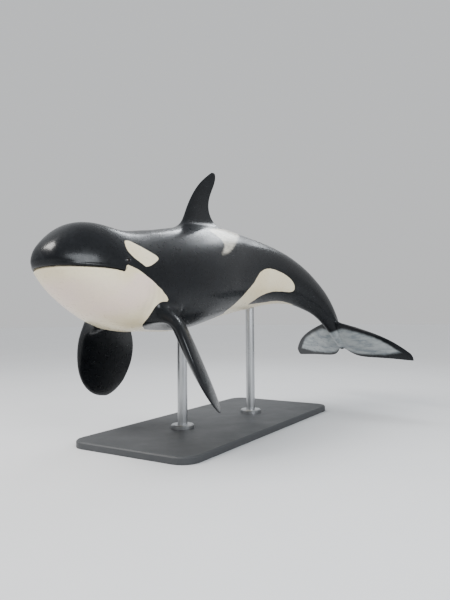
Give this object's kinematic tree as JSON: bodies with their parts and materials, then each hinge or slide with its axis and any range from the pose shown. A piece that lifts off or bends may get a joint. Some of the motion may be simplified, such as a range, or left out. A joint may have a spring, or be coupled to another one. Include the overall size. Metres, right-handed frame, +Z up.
{
  "type": "orca, still model on stand",
  "caption": "Life-size still model of a black and white orca in a turning swim, head raised and tail sweeping down, held on a flat base by rods",
  "frame": {"origin": "on the floor, under the middle of the whole model", "axes": "+Z up; the animal faces -Y with its tail towards +Y; +X is the animal's left side"},
  "size_m": [2.7746, 5.4518, 3.1075],
  "materials": {
    "skin": "smooth glossy blue-black skin with creamy white patches, a grey saddle and pale undersides of the flukes",
    "eye": "dark brown wet eyeball with a near-black pupil",
    "stand_base": "satin charcoal paint with a worn edge",
    "stand_rod": "brushed steel rods with turned foot collars"
  },
  "bodies": {
    "root": {"head": "skin", "lower_jaw": "skin", "eye_left": "eye", "eye_right": "eye", "trunk": "skin", "tail_stock": "skin", "dorsal_fin": "skin", "pectoral_fin_left": "skin", "pectoral_fin_right": "skin", "fluke_left": "skin", "fluke_right": "skin", "stand_base": "stand_base", "stand_collar_front": "stand_rod", "stand_collar_rear": "stand_rod", "stand_rod_front": "stand_rod", "stand_rod_rear": "stand_rod"}
  },
  "joints": []
}
